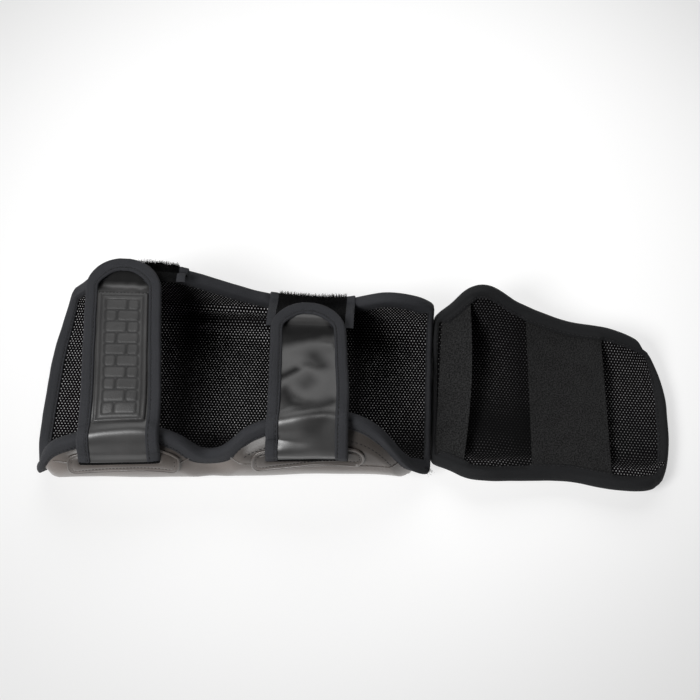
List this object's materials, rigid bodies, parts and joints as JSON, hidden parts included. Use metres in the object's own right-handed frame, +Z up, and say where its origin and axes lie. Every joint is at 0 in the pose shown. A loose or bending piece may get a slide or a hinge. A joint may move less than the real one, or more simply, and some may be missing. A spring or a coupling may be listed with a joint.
{
  "type": "shin and instep guard",
  "caption": "Padded shin and instep guard lying on its front, with a mesh-lined hollow for the leg and foot, hook and loop straps and elastic instep bands.",
  "frame": {"origin": "middle of the outline's box, on the floor that the padded front rests on", "axes": "+X from the knee end to the toe end, +Y from the wall that carries the straps to the wall that carries the loop tabs, +Z up out of the hollow"},
  "size_m": [0.5052, 0.1768, 0.0978],
  "materials": {
    "matte_leather": "black grained synthetic leather, semi-matte",
    "gloss_leather": "black synthetic leather, soft gloss",
    "lining_mesh": "black mesh cloth with a dotted knit",
    "binding_tape": "dark grosgrain tape",
    "elastic_band": "black ribbed elastic",
    "loop_pile": "black loop pile"
  },
  "bodies": {
    "root": {"shin_pad": "matte_leather", "shin_lining": "lining_mesh", "shin_binding": "binding_tape", "instep_pad": "matte_leather", "instep_lining": "lining_mesh", "instep_binding": "binding_tape", "instep_hinge": "matte_leather", "ankle_elastic": "elastic_band", "sole_elastic": "elastic_band", "calf_strap": "gloss_leather", "calf_strap_binding": "binding_tape", "calf_strap_anchor": "matte_leather", "calf_loop_tab": "loop_pile", "calf_strap_badge": "gloss_leather", "ankle_strap": "gloss_leather", "ankle_strap_binding": "binding_tape", "ankle_strap_anchor": "matte_leather", "ankle_loop_tab": "loop_pile"}
  },
  "joints": []
}
